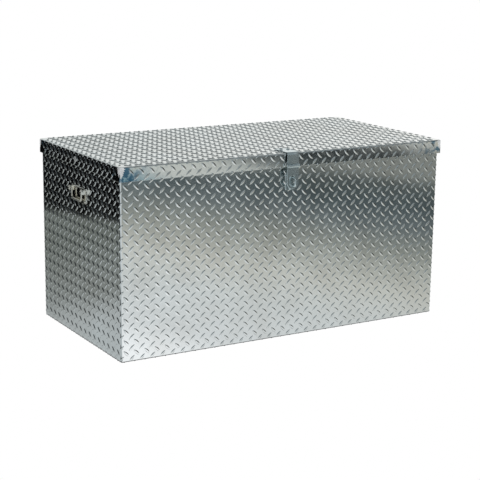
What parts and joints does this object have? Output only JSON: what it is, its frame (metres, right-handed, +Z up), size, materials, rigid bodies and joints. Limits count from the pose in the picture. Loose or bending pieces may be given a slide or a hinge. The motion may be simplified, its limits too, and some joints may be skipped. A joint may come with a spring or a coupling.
{
  "type": "truck tool box",
  "caption": "Rectangular aluminium tread-plate chest for a truck bed, with an overlapping hinged lid, a padlock hasp, folding end handles and gas struts.",
  "frame": {"origin": "centre of the underside", "axes": "+Z up, -Y out of the front (the hasp's side), +X to the right seen from the front"},
  "size_m": [1.255, 0.6662, 0.6285],
  "materials": {
    "tread_plate": "bright rolled tread plate, smooth between the lugs",
    "plain_aluminium": "mill finish sheet",
    "stainless": "stainless continuous hinge, lightly brushed",
    "zinc_plate": "zinc plated steel, slightly blue",
    "handle_chrome": "polished chrome plate",
    "strut_paint": "satin black enamel",
    "rod_chrome": "ground and chromed rod",
    "socket_plastic": "moulded nylon",
    "seal_rubber": "extruded EPDM sponge"
  },
  "bodies": {
    "box": {"body_wrap": "tread_plate", "bottom_panel": "plain_aluminium", "handle_backing_left": "plain_aluminium", "handle_backing_right": "plain_aluminium", "handle_bolt_left_1": "handle_chrome", "handle_bolt_left_2": "handle_chrome", "handle_bolt_left_3": "handle_chrome", "handle_bolt_left_4": "handle_chrome", "handle_bolt_right_1": "handle_chrome", "handle_bolt_right_2": "handle_chrome", "handle_bolt_right_3": "handle_chrome", "handle_bolt_right_4": "handle_chrome", "handle_plate_left": "handle_chrome", "handle_plate_right": "handle_chrome", "hasp_staple": "zinc_plate", "hinge_body_leaf": "stainless", "hinge_pin": "stainless", "rear_panel": "tread_plate", "rim_seal": "seal_rubber", "staple_bolt_1": "zinc_plate", "staple_bolt_2": "zinc_plate", "strut_body_bracket_left": "zinc_plate", "strut_body_bracket_right": "zinc_plate"},
    "lid": {"lid_shell": "tread_plate", "lid_stiffener_left": "plain_aluminium", "lid_stiffener_centre": "plain_aluminium", "lid_stiffener_right": "plain_aluminium", "hinge_lid_leaf": "stainless", "hasp_leaf": "zinc_plate", "hasp_pin": "zinc_plate", "hasp_bolt_1": "zinc_plate", "hasp_bolt_2": "zinc_plate", "hasp_bolt_3": "zinc_plate", "strut_lid_bracket_left": "zinc_plate", "strut_lid_bracket_right": "zinc_plate", "lid_stud_rivet_left": "plain_aluminium", "lid_stud_rivet_right": "plain_aluminium"},
    "hasp_strap": {"hasp_strap": "zinc_plate"},
    "handle_left": {"handle_bail_left": "handle_chrome"},
    "handle_right": {"handle_bail_right": "handle_chrome"},
    "strut_cylinder_left": {"strut_cylinder_left": "strut_paint", "strut_lower_socket_left": "socket_plastic"},
    "strut_rod_left": {"strut_rod_left": "rod_chrome", "strut_upper_socket_left": "socket_plastic"},
    "strut_cylinder_right": {"strut_cylinder_right": "strut_paint", "strut_lower_socket_right": "socket_plastic"},
    "strut_rod_right": {"strut_rod_right": "rod_chrome", "strut_upper_socket_right": "socket_plastic"}
  },
  "joints": [
    {"name": "lid_hinge", "type": "hinge", "parent": "box", "child": "lid", "pos_m": [0, 0.3108, 0.572], "axis": [-1, 0, 0], "range_deg": [0, 80]},
    {"name": "hasp_hinge", "type": "hinge", "parent": "lid", "child": "hasp_strap", "pos_m": [0, -0.32875, 0.581], "axis": [-1, 0, 0], "range_deg": [0, 170]},
    {"name": "handle_left_hinge", "type": "hinge", "parent": "box", "child": "handle_left", "pos_m": [-0.62, 0, 0.499], "axis": [0, 1, 0], "range_deg": [0, 90]},
    {"name": "handle_right_hinge", "type": "hinge", "parent": "box", "child": "handle_right", "pos_m": [0.62, 0, 0.499], "axis": [0, -1, 0], "range_deg": [0, 90]},
    {"name": "strut_left_pivot", "type": "hinge", "parent": "box", "child": "strut_cylinder_left", "pos_m": [-0.572, 0.22, 0.42], "axis": [-1, 0, 0], "range_deg": [0, 57.6]},
    {"name": "strut_left_slide", "type": "slide", "parent": "strut_cylinder_left", "child": "strut_rod_left", "axis": [0, -0.7582, 0.652], "range_m": [0, 0.1816]},
    {"name": "strut_right_pivot", "type": "hinge", "parent": "box", "child": "strut_cylinder_right", "pos_m": [0.572, 0.22, 0.42], "axis": [-1, 0, 0], "range_deg": [0, 57.6]},
    {"name": "strut_right_slide", "type": "slide", "parent": "strut_cylinder_right", "child": "strut_rod_right", "axis": [0, -0.7582, 0.652], "range_m": [0, 0.1816]}
  ],
  "couplings": [
    {"joint": "strut_left_pivot", "follows": "lid_hinge", "ratio": 0.71865},
    {"joint": "strut_left_slide", "follows": "lid_hinge", "m_per_rad": 0.12993},
    {"joint": "strut_right_pivot", "follows": "lid_hinge", "ratio": 0.71865},
    {"joint": "strut_right_slide", "follows": "lid_hinge", "m_per_rad": 0.12993}
  ]
}
